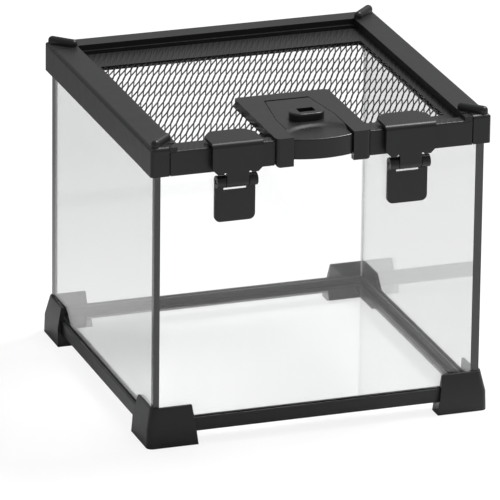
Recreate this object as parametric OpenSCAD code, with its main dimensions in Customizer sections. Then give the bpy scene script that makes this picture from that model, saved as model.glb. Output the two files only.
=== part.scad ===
// Small glass terrarium with a hinged mesh lid, a feeding hatch and two front latches.
// All sizes are in millimetres, z is up and the part stands on z = 0.

/* [Top frame] */
// Outer width of the top frame
frame_w = 200; // [190:1:220]
// Outer depth of the top frame
frame_d = 195.3; // [185:0.1:215]
// Height of the underside of the top frame above the floor
rail_under_z = 160.4; // [120:0.1:240]
// Height of the top frame from its underside to its top plate
rail_h = 16.85; // [16.5:0.05:19]
// Radius of the outer top edges of the frame
rail_edge_r = 2.2; // [1:0.1:2.6]
// Radius of the four upright corners of the frame
corner_edge_r = 1.8; // [1:0.1:2.6]
// Width of the top plate of each side rail
side_rail_w = 15.5; // [14:0.1:18]
// Width of the top plate of the back rail
back_rail_w = 13.15; // [12:0.05:16]
// Thickness of the top plate of the rails
rail_top_t = 2.2; // [1.5:0.1:2.6]
// Thickness of the inner walls of the rails
rail_wall = 1.6; // [1.2:0.1:2]
// Length of a corner block along each side
corner_len = 15.5; // [14:0.1:18]
// Width of the ledge step in front of the back rail
back_step_w = 1.75; // [1:0.05:2.5]
// Drop from the top of the back rail to its ledge step
back_step_drop = 3.3; // [2:0.1:3.8]
// Width of the ledge that carries the lid along each side
ledge_w = 4; // [3:0.1:5]
// Thickness of that ledge
ledge_t = 1.5; // [1.2:0.1:2]
// Width of the diagonal ridge on each corner block
ridge_w = 5; // [3:0.1:7]
// Height of the diagonal ridge above the corner block
ridge_h = 4; // [2:0.1:6]
// Distance of the ridge's outer end from the block's outer corner
ridge_out = 2.5; // [1.5:0.1:5]
// Distance of the ridge's inner end from the block's inner corner
ridge_in = 1.1; // [1.1:0.1:4]
// Height of the top of the hidden rail over the front pane
front_rail_h = 8; // [7:0.1:8.1]
// Height of that rail's underside above the underside of the top frame
front_rail_z = 1.6; // [0:0.1:3]
// Thickness of the hidden rail's front wall
front_rail_wall = 0.6; // [0.5:0.05:0.8]
// Length of the front wall left on each front corner block
front_block_w = 10.7; // [9:0.1:11.5]

/* [Glass] */
// Thickness of every pane
glass_t = 3; // [2.5:0.1:3.2]
// Distance of the side and front panes inside the outer face of the frame
glass_inset = 3; // [2.8:0.1:4]
// Distance of the back pane inside the outer face of the frame
back_glass_inset = 4.65; // [3:0.05:6]
// Free play of a pane on each face
glass_gap = 0.05; // [0:0.01:0.15]
// Height that the side and back panes reach into the top frame
glass_in_frame = 12.4; // [8:0.1:12.6]
// Height that the front pane reaches into the top frame
front_glass_in_frame = 6; // [4:0.1:6.2]
// Thickness of the seal between two panes
seal_t = 0.4; // [0.2:0.1:0.8]
// Width of the seal's fillet inside the tank
seal_fillet = 1.15; // [0.8:0.05:2]

/* [Base] */
// Height of the underside of the bottom rails above the floor
base_rail_z = 7; // [5:0.1:9]
// Height of the bottom rails
base_rail_h = 8; // [7:0.1:10]
// Thickness of the rails' outer walls
base_wall = 1.5; // [1.2:0.1:2]
// Thickness of the rails' webs under the panes
base_web = 1.6; // [1.2:0.1:2.2]
// Width of the flange under the base pane
base_flange = 5; // [3:0.1:8]
// Height of a foot
foot_h = 23; // [19:0.1:26]
// Height of the crease in a foot's outer faces
foot_crease_z = 11; // [9:0.1:14]
// Length of a foot's wing at the floor
foot_len = 30; // [26:0.1:40]
// How much shorter the wing is at its top
foot_taper = 3.2; // [0:0.1:5]
// How far a foot stands out from the glass at its top
foot_top_out = 1.6; // [1.2:0.1:3]
// How far a foot stands out from the glass at the floor
foot_low_out = 4.4; // [3.4:0.1:6]
// Depth of a foot's wing at the floor
foot_depth = 9.5; // [9:0.1:14]
// Radius of a foot's upright corner
foot_corner_r = 3.5; // [2:0.1:6]

/* [Lid] */
// Thickness of the lid frame
lid_t = 3.4; // [3:0.1:3.6]
// Height of the lid's top above the underside of the top frame
lid_top_z = 12; // [11.8:0.05:12.2]
// Clearance between the lid and the top frame
lid_gap = 0.3; // [0.2:0.05:0.4]
// Clearance of the skirt's two ends in the front
skirt_gap = 0.6; // [0.3:0.1:1]
// Width of the lid's flat border on each side of the mesh opening
mesh_border = 5.2; // [5:0.1:14]
// Distance of the mesh opening's front edge from the front of the frame
mesh_front = 19.45; // [18:0.05:24]
// Distance of the mesh opening's back edge from the front of the frame
mesh_back = 156; // [140:0.1:158]
// Width of the beam along the lid's front edge
beam_w = 6.95; // [6:0.05:8]
// Height of that beam above the underside of the top frame
beam_top = 14.4; // [14:0.1:15]
// Thickness of the skirt that hangs in front of the glass
skirt_t = 1.75; // [1.4:0.05:1.8]
// Radius of the lid's two hinge pins
lid_pin_r = 0.9; // [0.7:0.05:1]
// Length of a lid hinge pin inside the lid
lid_pin_len = 7; // [5:0.1:10]
// Height of the thin lip along the lid's side edges
lid_lip_h = 0.4; // [0.2:0.1:0.8]
// Width of that lip
lip_w = 0.8; // [0.6:0.1:1.4]
// Height of the lid's two raised ends above the underside of the top frame
lid_end_top = 16.4; // [16:0.1:16.8]

/* [Mesh] */
// Thickness of the mesh sheet
mesh_t = 0.8; // [0.5:0.1:1]
// Depth of the mesh under the top of the lid
mesh_sink = 0.6; // [0.4:0.1:0.8]
// Width of the mesh sheet's rim under the lid
mesh_rim = 2.4; // [1.5:0.1:3]
// Spacing of the gaps across the lid
mesh_pitch = 3.72; // [3.7:0.01:5]
// Length of a gap along its long way
mesh_long = 22; // [21.8:0.1:26]
// Width of a mesh strand
strand_w = 0.7; // [0.5:0.05:1]

/* [Hatch] */
// Width of the hatch housing
hatch_w = 56; // [50:0.5:60]
// Distance of the housing's back edge from the front of the frame
hatch_back = 71; // [64:0.1:76]
// Height of the housing's top above the underside of the top frame
hatch_top = 16; // [15.7:0.1:16.3]
// Thickness of the housing's top plate
hatch_t = 2; // [1.8:0.1:2.2]
// Radius of the housing's back corners
hatch_r = 3; // [1:0.1:5]
// Radius of the housing's front corners
hatch_front_r = 2.6; // [1:0.1:3.5]
// How far the two posts stand out in front of the frame
post_out = 2.4; // [0.5:0.1:4]
// Thickness of the housing's side walls
hatch_wall = 2; // [1.6:0.1:2.6]
// How far the two posts reach under the top frame
post_drop = 0.9; // [0:0.1:2]
// Radius of a post's lower outer corner
post_low_r = 2.5; // [1:0.1:4]
// Half width of the door at its front
door_half_w = 17.2; // [15:0.1:19]
// Half width of the door at its hinge
door_back_half_w = 12.8; // [10:0.1:14]
// Distance from the front of the frame to where the door starts to narrow
door_narrow = 28.65; // [24:0.05:34]
// Clearance around the door
door_gap = 0.4; // [0.3:0.05:0.5]
// Distance of the door's hinge pin from the front of the frame
door_pin_back = 59.45; // [56:0.05:61]
// Radius of the door's hinge barrel
door_barrel_r = 1.6; // [1.5:0.05:1.8]
// Radius of the door's hinge pins
door_pin_r = 0.7; // [0.5:0.05:0.8]
// Length of a door pin inside the door
door_pin_len = 5; // [3:0.1:8]
// How far the ends of the door's front stand out in front of the frame
door_out = 1; // [0:0.1:2]
// How far the door's front bulges out in the middle
door_bulge = 3; // [2:0.1:4]
// Height of the door's lower edge above the underside of the top frame
door_low_z = 2.7; // [1:0.1:4]
// Height of the door's front lip
door_lip_z = 14.3; // [13.6:0.1:14.6]
// Rounding of that lip's edge
lip_r = 0.8; // [0.3:0.1:1.2]
// Wall of the door's front
door_wall = 1.5; // [1.2:0.1:1.8]
// Radius of the finger scoop's arc
scoop_r = 28; // [24:0.5:32]
// Width of the sloping band along the arc
scoop_slope = 4.5; // [2:0.1:7]
// Depth of the arc's middle behind the front of the frame
scoop_back = 18.8; // [16:0.1:20]

/* [Slide knob] */
// Width of the knob
knob_w = 20.3; // [16:0.1:24]
// Depth of the knob
knob_d = 12; // [9:0.1:14]
// Height of the knob above the door
knob_h = 4.4; // [3:0.1:6]
// Rounding of the knob's top edge
knob_r = 1.2; // [0.5:0.1:1.6]
// Distance of the knob's middle from the front of the frame
knob_back = 27.35; // [27:0.05:30]
// Travel of the knob toward the hinge
knob_travel = 4; // [2:0.1:5]
// Width of the pocket in the knob's top
pocket_w = 9.6; // [6:0.1:12]
// Depth of the pocket from front to back
pocket_d = 6.2; // [4:0.1:7]
// Distance of the pocket's middle behind the knob's middle
pocket_back = 1.2; // [0:0.1:1.6]
// Height of the pocket's floor above the door
pocket_floor = 1.6; // [1:0.1:2.4]
// Width of the neck that runs in the door's slot
neck_w = 5; // [4:0.1:6]
// Length of the neck
neck_d = 6; // [4:0.1:8]
// Clearance of the neck in its slot
neck_gap = 0.2; // [0.1:0.05:0.3]
// Thickness of the keeper plate under the door
keeper_t = 1.2; // [1:0.1:1.4]
// How far the keeper plate stands out beside the neck
keeper_over_x = 2.5; // [1:0.1:4]
// How far it stands out in front of and behind the neck
keeper_over_y = 1.5; // [1:0.1:3]

/* [Latches] */
// Distance of each latch's middle from the front corner block
latch_end = 38.5; // [29:0.1:41]
// Width of a bracket
bracket_w = 29.6; // [28:0.1:32]
// Thickness of a bracket
bracket_t = 1.8; // [1.4:0.1:2]
// Distance of the bracket's front face in front of the frame
bracket_out = 4.4; // [4:0.1:5]
// Height of the bracket's top above the underside of the top frame
bracket_top = 17.4; // [17:0.1:18]
// Distance of the bracket's lower edge under the frame
bracket_drop = 0.7; // [0:0.1:1.2]
// Size of the bracket's cut lower corners
bracket_low_cut = 3; // [1:0.1:4]
// Radius of the relief notches beside the tongue
relief_r = 0.9; // [0.5:0.1:1.2]
// Outer radius of the bracket's bend
bend_r = 3; // [2:0.1:4]
// Distance of the bracket's back edge behind the front of the frame
bracket_back = 17.6; // [15:0.1:19]
// Length of the cut corners at the bracket's back
bracket_cut = 7; // [4:0.1:9]
// Width of the tongue that carries the pin
tongue_w = 12.9; // [11:0.1:14]
// Width of a lever
lever_w = 23.7; // [22:0.1:25]
// Thickness of a lever's flap
lever_t = 1.8; // [1.4:0.1:2]
// Distance of a lever's lower edge under the frame
lever_low = 30.2; // [24:0.1:36]
// Radius of a lever's lower corners
lever_r = 3.5; // [2:0.1:6]
// Radius of the hinge barrels
barrel_r = 3.6; // [3:0.05:3.65]
// Distance of the latch pin under the frame
latch_pin_drop = 5.85; // [5.5:0.05:8]
// Distance of the latch pin in front of the frame
latch_pin_out = 0.95; // [0.7:0.05:1.2]
// Radius of a latch pin
latch_pin_r = 1.2; // [0.9:0.05:1.5]
// Height of the slit between the tongue's barrel and the lever's flap
lever_slot = 2.55; // [1:0.05:3.5]
// Clearance beside the tongue
tongue_gap = 0.4; // [0.3:0.05:0.6]

/* [Fits] */
// Radial clearance of every pin in the part that turns on it
pin_gap = 0.05; // [0.02:0.01:0.1]
// Clearance under the knob on the door
knob_play = 0.05; // [0.02:0.01:0.1]
// Clearance of the keeper plate under the door
keeper_play = 0.1; // [0.05:0.05:0.2]
// Clearance between a rail and the foot around it
foot_gap = 0.15; // [0.05:0.05:0.3]
// Clearance under the lid on its ledges
rest_gap = 0.1; // [0.05:0.01:0.15]

/* [Hidden] */
$fn = 48;
BLACK = [0.19, 0.19, 0.2];
STEEL = [0.7, 0.71, 0.72];
CLEAR = [0.86, 0.92, 0.92, 0.35];
WIRE = [0.25, 0.25, 0.26];
SEAL = [0.3, 0.3, 0.31];
FROST = [0.85, 0.86, 0.87, 0.6];
e = 0.01;
hw = frame_w / 2;
hd = frame_d / 2;
fy = -hd;
in_x = hw - side_rail_w;
in_y = hd - back_rail_w;
step_y = in_y - back_step_w;
blk_y = hd - corner_len;
blk_x = hw - corner_len;
gx = hw - glass_inset;
gyf = hd - glass_inset;
gyb = hd - back_glass_inset;
lid_low_z = lid_top_z - lid_t;
ledge_top = lid_low_z - rest_gap;
ledge_low = ledge_top - ledge_t;
lid_half = in_x - lid_gap;
mesh_w = 2 * (lid_half - mesh_border);
lid_rear = step_y - lid_gap;
lid_round = lid_t / 2;
lid_pin_y = lid_rear - lid_round - 1.4;
lid_pin_z = lid_top_z - lid_round;
block_in = hw - front_block_w;
latch_x = block_in - latch_end;
beam_y = fy + beam_w;
front_rail_y = fy + skirt_t + lid_gap;
mesh_y0 = fy + mesh_front;
mesh_y1 = fy + mesh_back;
mesh_top = lid_top_z - mesh_sink;
mesh_low = mesh_top - mesh_t;
hatch_y = fy + hatch_back;
hx = hatch_w / 2;
door_pin_y = fy + door_pin_back;
door_pin_z = hatch_top - door_barrel_r;
door_rear = door_pin_y + door_barrel_r;
ear_x = door_back_half_w + door_gap + 4;
post_in = door_half_w + door_gap;
plate_z = hatch_top - hatch_t;
bulge_r = (door_half_w * door_half_w + door_bulge * door_bulge) / (2 * door_bulge);
bulge_y = fy - door_out - door_bulge + bulge_r;
knob_y = fy + knob_back;
pin_y = fy - latch_pin_out;
pin_z = -latch_pin_drop;
rest_z = base_rail_z + base_web;
rail_in = glass_t + base_wall + glass_gap;
low_x = gx + foot_low_out;
front_reach = hd + max(bracket_out, latch_pin_out + barrel_r, post_out, door_out + door_bulge);
back_reach = max(hd, gyb + foot_low_out);
y_shift = (front_reach - back_reach) / 2;

// Piece to draw, or all of them

module base() {
    translate([0, y_shift, 0]) children();
}

module top() {
    translate([0, y_shift, rail_under_z]) children();
}

// Extrudes a plan drawn in x and z from y0 to y1
module along_y(y0, y1) {
    translate([0, y1, 0]) rotate([90, 0, 0]) linear_extrude(height = y1 - y0) children();
}

// Extrudes a plan drawn in y and z from x0 to x1
module along_x(x0, x1) {
    translate([x0, 0, 0]) rotate([90, 0, 90]) linear_extrude(height = x1 - x0) children();
}

module box(x0, x1, y0, y1, z0, z1) {
    translate([x0, y0, z0]) cube([x1 - x0, y1 - y0, z1 - z0]);
}

module flat(x0, x1, z0, z1) {
    translate([x0, z0]) square([x1 - x0, z1 - z0]);
}

module side(s) {
    if (s < 0) {
        mirror([1, 0, 0]) children();
    } else {
        children();
    }
}

module end(s) {
    if (s > 0) {
        mirror([0, 1, 0]) children();
    } else {
        children();
    }
}

// What a rounding of radius r takes off the corner at x and y; kx and ky point out of the corner
module round_corner(x, y, kx, ky, r) {
    translate([x - kx * r, y - ky * r]) difference() {
        translate([kx > 0 ? 0 : -r - 1, ky > 0 ? 0 : -r - 1]) square(r + 1);
        circle(r);
    }
}

// A rectangle whose upper right corner is rounded
module round_top(x0, x1, z0, z1, r) {
    difference() {
        flat(x0, x1, z0, z1);
        round_corner(x1, z1, 1, 1, r);
    }
}

// Feet and bottom rails

// One level of a foot's wing, thin, with its outer faces the given distance out
module foot_level(z, out, gy, shorter) {
    xo = gx + out;
    yo = gy + out;
    xi = low_x - foot_len + shorter;
    yi = gy + foot_low_out - foot_depth;
    translate([xo - foot_corner_r, -yo + foot_corner_r, z]) cylinder(r = foot_corner_r, h = 0.1, $fn = 32);
    translate([xi, -yo, z]) cube([1, yo - yi, 0.1]);
    translate([xo - 1, -yi - 1, z]) cube([1, 1, 0.1]);
}

module foot_wing(gy) {
    cut = foot_taper * foot_crease_z / foot_h;
    mid = foot_low_out - 0.3;
    hull() {
        foot_level(0, foot_low_out, gy, 0);
        foot_level(foot_crease_z, mid, gy, cut);
        foot_level(foot_h - 0.1, foot_top_out, gy, foot_taper);
    }
}

// One level of the wing along the side
module foot_side_level(z, out, gy, shorter) {
    xo = gx + out;
    yo = gy + out;
    yi = gy + foot_low_out - foot_len + shorter;
    xi = low_x - foot_depth;
    translate([xo - foot_corner_r, -yo + foot_corner_r, z]) cylinder(r = foot_corner_r, h = 0.1, $fn = 32);
    translate([xi, -yi - 1, z]) cube([xo - xi, 1, 0.1]);
    translate([xi, -yo, z]) cube([1, 1, 0.1]);
}

module foot_side_wing(gy) {
    cut = foot_taper * foot_crease_z / foot_h;
    mid = foot_low_out - 0.3;
    hull() {
        foot_side_level(0, foot_low_out, gy, 0);
        foot_side_level(foot_crease_z, mid, gy, cut);
        foot_side_level(foot_h - 0.1, foot_top_out, gy, foot_taper);
    }
}

// A front right foot; gy is the outer face of the pane behind it
module foot(gy) {
    xo = gx + glass_gap + base_wall + foot_gap;
    yo = gy + glass_gap + base_wall + foot_gap;
    difference() {
        union() {
            foot_wing(gy);
            foot_side_wing(gy);
        }
        box(0, xo, -yo, 0, base_rail_z, base_rail_z + base_rail_h + foot_gap);
        box(0, gx + glass_gap, -gy - glass_gap, 0, base_rail_z, foot_h + 1);
        foot_pocket(gy);
    }
}

module corner_foot(s, back, gy) {
    color(BLACK) base() side(s) end(back) foot(gy);
}

// The moulded hollow on a foot's underside
module foot_pocket(gy) {
    x1 = low_x - 2.4;
    y1 = -gy - foot_low_out + 2.4;
    box(low_x - foot_len + 2.4, x1, y1, y1 + foot_depth - 4.8, -1, base_rail_z - 2);
    box(x1 - foot_depth + 4.8, x1, y1, y1 + foot_len - 4.8, -1, base_rail_z - 2);
}

// Cross section of a bottom rail with the outside of its pane at g
module base_rail_2d(g) {
    xo = g + glass_gap + base_wall;
    xi = g - glass_t - glass_gap;
    difference() {
        flat(xi - base_wall, xo, base_rail_z, base_rail_z + base_rail_h);
        flat(xi, g + glass_gap, rest_z, base_rail_z + base_rail_h + 1);
    }
    flat(xi - base_wall - base_flange, xi - base_wall + e, base_rail_z, rest_z);
}

module bottom_rail_side(s) {
    y0 = -gyf + rail_in;
    y1 = gyb - rail_in;
    xi = gx - glass_t - glass_gap - base_wall;
    color(BLACK) base() side(s) difference() {
        along_y(y0, y1) base_rail_2d(gx);
        box(0, xi, y0 - 1, y0 + base_flange, 0, 40);
        box(0, xi, y1 - base_flange, y1 + 1, 0, 40);
    }
}

module bottom_rail_front() {
    color(BLACK) base() end(1) bottom_rail_long(gyf);
}

module bottom_rail_back() {
    color(BLACK) base() bottom_rail_long(gyb);
}

// The front and back rails run across the full width and carry the side panes' ends
module bottom_rail_long(g) {
    xo = gx + glass_gap + base_wall;
    xi = gx - glass_t - glass_gap - base_wall;
    difference() {
        along_x(-xo, xo) base_rail_2d(g);
        for (s = [-1, 1]) side(s) {
            box(gx - glass_t - glass_gap, gx + glass_gap, 0, g + glass_gap, rest_z, 40);
            box(xi, xo + 1, 0, g - rail_in, 0, 40);
        }
    }
}

// Panes and their seals

side_y0 = -gyf + glass_t + seal_t;
base_x = gx - glass_t - base_wall - glass_gap * 2;

module base_glass() {
    yf = gyf - glass_t - base_wall - glass_gap * 2;
    yb = gyb - glass_t - base_wall - glass_gap * 2;
    color(CLEAR) base() box(-base_x, base_x, -yf, yb, rest_z, rest_z + glass_t);
}

module front_glass() {
    color(CLEAR) base() box(-gx, gx, -gyf, -gyf + glass_t, rest_z, rail_under_z + front_glass_in_frame);
}

module back_glass() {
    x1 = gx - glass_t - seal_t;
    color(CLEAR) base() box(-x1, x1, gyb - glass_t, gyb, rest_z, rail_under_z + glass_in_frame);
}

module side_glass(s) {
    color(CLEAR) base() side(s) box(gx - glass_t, gx, side_y0, gyb, rest_z, rail_under_z + glass_in_frame);
}

seal_z0 = base_rail_z + base_rail_h + 0.2;
seal_z1 = rail_under_z;

module seal_front(s) {
    yb = -gyf + glass_t;
    color(SEAL) base() side(s) translate([0, 0, seal_z0]) linear_extrude(height = seal_z1 - seal_z0)
        polygon([[gx, yb], [gx, yb + seal_t], [gx - glass_t, yb + seal_t],
            [gx - glass_t, yb + seal_t + seal_fillet], [gx - glass_t - seal_fillet, yb]]);
}

module seal_back(s) {
    xi = gx - glass_t;
    yi = gyb - glass_t;
    color(s < 0 ? SEAL : FROST) base() side(s) translate([0, 0, seal_z0])
        linear_extrude(height = seal_z1 - seal_z0)
            polygon([[xi, gyb], [xi, yi - seal_fillet], [xi - seal_t - seal_fillet, yi], [xi - seal_t, yi],
                [xi - seal_t, gyb]]);
}

// Top frame: rails, corner blocks and the lid's hinge pins

// Cross section of a side rail in x and z, without the lid's ledge
module side_rail_2d() {
    gi = gx - glass_t - glass_gap;
    difference() {
        round_top(in_x, hw, 0, rail_h, rail_edge_r);
        flat(gi, gx + glass_gap, -1, rail_h - rail_top_t);
        flat(in_x + rail_wall, gi - rail_wall, -1, rail_h - rail_top_t);
        flat(in_x - 1, in_x + rail_wall + e, -1, ledge_low);
    }
}

module top_rail_side(s) {
    color(BLACK) top() side(s) {
        difference() {
            along_y(-blk_y, blk_y) side_rail_2d();
            translate([0, lid_pin_y, lid_pin_z]) rotate([0, 90, 0])
                cylinder(r = lid_pin_r, h = in_x + rail_wall + 1);
        }
        box(in_x - ledge_w, in_x + rail_wall, -blk_y, lid_pin_y - 4.5, ledge_low, ledge_top);
    }
}

module top_rail_back() {
    gi = gyb - glass_t - glass_gap;
    color(BLACK) top() along_x(-blk_x, blk_x) difference() {
        union() {
            round_top(in_y, hd, 0, rail_h, rail_edge_r);
            flat(step_y, in_y + rail_wall, ledge_low, rail_h - back_step_drop);
        }
        flat(gi, gyb + glass_gap, -1, rail_h - rail_top_t);
        flat(in_y + rail_wall, gi - rail_wall, -1, rail_h - rail_top_t);
        flat(in_y - 3, in_y + rail_wall + e, -1, ledge_low);
    }
}

// The low rail over the front pane, which the lid's front edge covers
module front_rail_2d() {
    difference() {
        flat(-gyf - glass_gap - front_rail_wall, -gyf + glass_t + glass_gap + rail_wall, front_rail_z,
            front_rail_h);
        flat(-gyf - glass_gap, -gyf + glass_t + glass_gap, -1, front_glass_in_frame);
    }
}

module top_rail_front() {
    color(BLACK) top() along_x(-blk_x, blk_x) front_rail_2d();
}

// Rounded outline of a corner block, drawn on the right and front
module block_shape() {
    intersection() {
        along_y(-hd, -blk_y) round_top(blk_x, hw, 0, rail_h, rail_edge_r);
        mirror([0, 1, 0]) along_x(blk_x, hw) round_top(blk_y, hd, 0, rail_h, rail_edge_r);
        block_plan(rail_h + 1);
    }
}

module block_plan(h) {
    mirror([0, 1, 0]) linear_extrude(height = h) round_top(blk_x, hw, blk_y, hd, corner_edge_r);
}

// The diagonal ridge between the block's two corners, round at both ends
module ridge() {
    r = ridge_w / 2;
    s0 = ridge_out + r;
    s1 = corner_len * sqrt(2) - ridge_in - r;
    h = 3 + ridge_h - r;
    translate([hw, -hd, rail_h - 3]) rotate([0, 0, 135]) {
        along_x(s0, s1) ridge_2d();
        for (s = [s0, s1]) translate([s, 0, 0]) {
            cylinder(r = r, h = h);
            translate([0, 0, h]) sphere(r);
        }
    }
}

module ridge_2d() {
    r = ridge_w / 2;
    flat(-r, r, 0, 3 + ridge_h - r);
    translate([0, 3 + ridge_h - r]) circle(r);
}

module block_hollow(gy) {
    box(0, gx + glass_gap, -gy - glass_gap, 0, -1, rail_h - rail_top_t - 0.8);
}

module top_corner_front(s) {
    color(BLACK) top() side(s) difference() {
        union() {
            difference() {
                block_shape();
                block_hollow(gyf);
            }
            ridge();
            box(in_x, in_x + rail_wall, -gyf + glass_t + glass_gap, -blk_y, ledge_low, rail_h - 1);
            along_x(blk_x, block_in + 1) front_rail_2d();
        }
        box(0, block_in, -hd - 1, front_rail_y, -1, rail_h + 9);
        box(0, block_in, -hd - 1, beam_y, front_rail_h, rail_h + 9);
    }
}

module top_corner_back(s) {
    gi = gyb - glass_t - glass_gap;
    color(BLACK) top() side(s) difference() {
        union() {
            mirror([0, 1, 0]) block_shape();
            mirror([0, 1, 0]) ridge();
        }
        box(0, gx + glass_gap, 0, gyb + glass_gap, -1, rail_h - rail_top_t - 0.8);
    }
    color(BLACK) top() side(s) box(in_x, in_x + rail_wall, blk_y, gi, ledge_low, rail_h - 1);
}

module lid_hinge_pins() {
    color(STEEL) top() for (s = [-1, 1]) side(s)
        translate([lid_half - lid_pin_len, lid_pin_y, lid_pin_z]) rotate([0, 90, 0])
            cylinder(r = lid_pin_r, h = lid_pin_len + lid_gap + rail_wall);
}

// Lid frame

// Section of the lid in y and z along its sides
module lid_2d() {
    flat(beam_y - e, lid_rear - lid_round, lid_low_z, lid_top_z);
    translate([lid_rear - lid_round, lid_pin_z]) circle(lid_round);
}

module lid_front_2d(y1) {
    mirror([1, 0]) round_top(-y1, -fy, 0, beam_top, 1);
}

module lid_frame() {
    end_x = block_in - lid_gap;
    low_end = block_in - skirt_gap;
    color(BLACK) top() difference() {
        union() {
            along_x(-lid_half, lid_half) lid_2d();
            along_x(-lid_half, lid_half) lid_front_2d(beam_y);
            along_x(-low_end, low_end) lid_front_2d(beam_y - lid_gap);
            for (s = [-1, 1]) side(s) {
                box(in_x, end_x, fy + 0.6, beam_y - lid_gap, beam_top - 1, lid_end_top);
                box(lid_half - lip_w, lid_half, beam_y, lid_pin_y - 5, lid_top_z - 1, lid_top_z + lid_lip_h);
            }
        }
        box(-hw, hw, fy + skirt_t, beam_y + 20, -1, lid_low_z);
        box(-mesh_w / 2, mesh_w / 2, mesh_y0, mesh_y1, -1, 40);
        mesh_seat();
        box(-hx, hx, fy - 1, front_rail_y - lid_gap, -1, 40);
        box(-hx, hx, fy - 1, mesh_y0, lid_top_z, 40);
        for (s = [-1, 1]) side(s) translate([lid_half - lid_pin_len - 0.3, lid_pin_y, lid_pin_z])
            rotate([0, 90, 0]) cylinder(r = lid_pin_r + pin_gap, h = lid_pin_len + 1);
    }
}

// Seat for the mesh sheet, open to the underside of the lid
module mesh_seat() {
    g = mesh_rim + 0.2;
    box(-mesh_w / 2 - g, mesh_w / 2 + g, mesh_y0 - g, mesh_y1 + g, -1, mesh_top);
}

// Mesh sheet, cut from one outline with its gaps

// Keeps the part of a convex outline on the inner side of the line n * p = c
function crosses(da, db) = (da < 0 && db > 0) || (da > 0 && db < 0);
function clip(p, n, c) = [for (i = [0 : len(p) - 1])
    let (a = p[i], b = p[(i + 1) % len(p)], da = n * a - c, db = n * b - c)
    each concat(da <= 0 ? [a] : [], crosses(da, db) ? [a + (b - a) * da / (da - db)] : [])];
function clip_box(p, x0, x1, y0, y1) = let (a = len(p) > 2 ? clip(p, [-1, 0], -x0) : [],
    b = len(a) > 2 ? clip(a, [1, 0], x1) : [], c = len(b) > 2 ? clip(b, [0, -1], -y0) : [])
    len(c) > 2 ? clip(c, [0, 1], y1) : [];
function area2(p) = len(p) < 3 ? 0 : abs([for (i = [0 : len(p) - 1])
    p[i][0] * p[(i + 1) % len(p)][1] - p[i][1] * p[(i + 1) % len(p)][0]] * [for (i = p) 1]);
function starts(v, i = 0, s = 8) = i >= len(v) ? [] : concat([s], starts(v, i + 1, s + len(v[i])));

// The four corners of one gap, its long way along the leaning strands
long_dir = [cos(65.6), sin(65.6)];
row_v = [-mesh_long * cos(67.96), -mesh_long * sin(67.96)] * 0.86;
col_v = [mesh_pitch * 0.967, -mesh_pitch * 0.253];
inner_long = mesh_long * 0.86 * 1.1;
inner_wide = mesh_pitch * 1.1 - strand_w * 1.4;
function gap_at(c) = let (l = long_dir * inner_long / 2, w = [inner_wide / 2, -inner_wide * 0.13])
    [c + l, c + w, c - l, c - w];

mx = mesh_w / 2 - 0.6;
my0 = mesh_y0 + 0.6;
my1 = mesh_y1 - 0.6;
hm = hx + 0.6;
hmy = hatch_y + 0.6;
mid_m = [0, (my0 + my1) / 2];
raw_gaps = [for (i = [-34 : 34], j = [-6 : 6]) gap_at(mid_m + i * col_v + j * row_v)];
gap_parts = [for (g = raw_gaps) each [clip_box(g, -mx, mx, hmy, my1),
    clip_box(g, -mx, -hm, my0, hmy - strand_w), clip_box(g, hm, mx, my0, hmy - strand_w)]];
gaps = [for (g = gap_parts) if (area2(g) > 14) g];
gap_starts = starts(gaps);

module mesh_screen() {
    r = mesh_rim;
    x1 = mesh_w / 2 + r;
    y1 = mesh_y1 + r;
    y0 = mesh_y0 - r;
    hc = hx - hatch_wall;
    hy = hatch_y - hatch_wall;
    outer = [[-x1, y0], [-hc, y0], [-hc, hy], [hc, hy], [hc, y0], [x1, y0], [x1, y1], [-x1, y1]];
    pts = concat(outer, [for (g = gaps) each g]);
    rim = [for (k = [0 : 7]) k];
    ways = concat([rim], [for (i = [0 : len(gaps) - 1])
        [for (k = [0 : len(gaps[i]) - 1]) gap_starts[i] + k]]);
    color(WIRE) top() translate([0, 0, mesh_low]) linear_extrude(height = mesh_t)
        polygon(points = pts, paths = ways);
}

// Hatch housing and its door

// Plan of the door's opening, grown by g
module door_plan(g) {
    yn = fy + door_narrow;
    polygon([[-door_half_w - g, fy - 12], [door_half_w + g, fy - 12], [door_half_w + g, yn],
        [door_back_half_w + g, door_rear + g], [-door_back_half_w - g, door_rear + g],
        [-door_half_w - g, yn]]);
}

module hatch_housing() {
    w = hatch_wall;
    color(BLACK) top() difference() {
        union() {
            translate([0, 0, mesh_top]) linear_extrude(height = hatch_top - mesh_top) hatch_plan();
            intersection() {
                for (s = [-1, 1]) side(s) along_y(fy - post_out, mesh_y0 - mesh_rim - 0.3) post_2d();
                translate([0, 0, -9]) linear_extrude(height = 40) hatch_plan();
            }
        }
        box(-hx + w, hx - w, mesh_y0, hatch_y - w, 0, plate_z);
        box(-post_in, post_in, fy - post_out - 1, mesh_y0 + 1, -9, plate_z);
        box(-hx, hx, front_rail_y - lid_gap, mesh_y0, -9, lid_top_z);
        translate([0, 0, -9]) linear_extrude(height = 40) door_plan(door_gap);
        translate([-ear_x, door_pin_y, door_pin_z]) rotate([0, 90, 0])
            cylinder(r = door_pin_r, h = ear_x * 2);
    }
    color(BLACK) top() for (s = [-1, 1]) side(s) door_ear();
}

module hatch_plan() {
    y0 = fy - post_out;
    difference() {
        translate([-hx, y0]) square([hatch_w, hatch_y - y0]);
        for (s = [-1, 1]) {
            round_corner(s * hx, hatch_y, s, 1, hatch_r);
            round_corner(s * hx, y0, s, -1, hatch_front_r);
        }
    }
}

// Section of a post in x and z with its lower outer corner rounded
module post_2d() {
    difference() {
        flat(post_in, hx, -post_drop, hatch_top);
        round_corner(hx, -post_drop, 1, -1, post_low_r);
    }
}

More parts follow.
